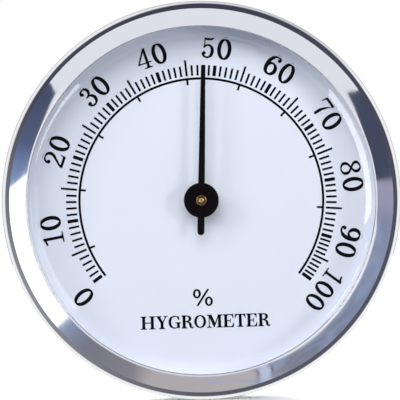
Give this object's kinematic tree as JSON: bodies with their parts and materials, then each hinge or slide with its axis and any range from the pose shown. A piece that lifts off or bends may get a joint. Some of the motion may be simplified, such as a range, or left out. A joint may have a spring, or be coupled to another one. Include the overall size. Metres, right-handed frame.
{
  "type": "dial hygrometer",
  "caption": "Round dial hygrometer insert: chromed rim, domed window, printed dial, pointer on a humidity coil and a slotted rear adjuster; it pushes into a round panel hole.",
  "frame": {"origin": "on the dial's axis, in the plane of the rim's back where it rests on the panel", "axes": "+Y back into the panel (the dial faces -Y), +Z towards 12 o'clock, +X towards 3 o'clock"},
  "size_m": [0.072, 0.0226, 0.072],
  "materials": {
    "chrome": "polished",
    "lens_clear": "clear, glossy",
    "dark_rubber": "matt",
    "white_plastic": "satin",
    "dial_white": "satin white with black print",
    "case_black": "moulded, fine grain",
    "brass": "turned",
    "steel": "plated",
    "black_paint": "satin black",
    "coil_strip": "coated foil"
  },
  "bodies": {
    "root": {"bezel": "chrome", "lens": "lens_clear", "lens_gasket": "dark_rubber", "spacer_ring": "white_plastic", "dial_plate": "dial_white", "case": "case_black", "grip_ring": "dark_rubber", "movement_plate": "brass", "bridge": "steel", "front_bush": "brass", "plate_screw_left": "steel", "plate_screw_right": "steel", "friction_washer": "steel"},
    "adjuster": {"adjuster_boss": "brass", "adjuster_arm": "steel", "coil_stud": "brass", "hygro_coil": "coil_strip"},
    "hand": {"arbor": "brass", "end_washer": "steel", "coil_collet": "brass", "pointer": "black_paint", "pointer_collet": "brass"}
  },
  "joints": [
    {"name": "adjuster_turn", "type": "hinge", "parent": "root", "child": "adjuster", "pos_m": [0, 0.0094, 0], "axis": [0, 1, 0], "range_deg": [-25, 25]},
    {"name": "pointer_turn", "type": "hinge", "parent": "adjuster", "child": "hand", "pos_m": [0, 0, 0], "axis": [0, 1, 0], "range_deg": [-128, 125], "stiffness_Nm_per_rad": 0.0002, "deforming": ["hygro_coil"]}
  ]
}
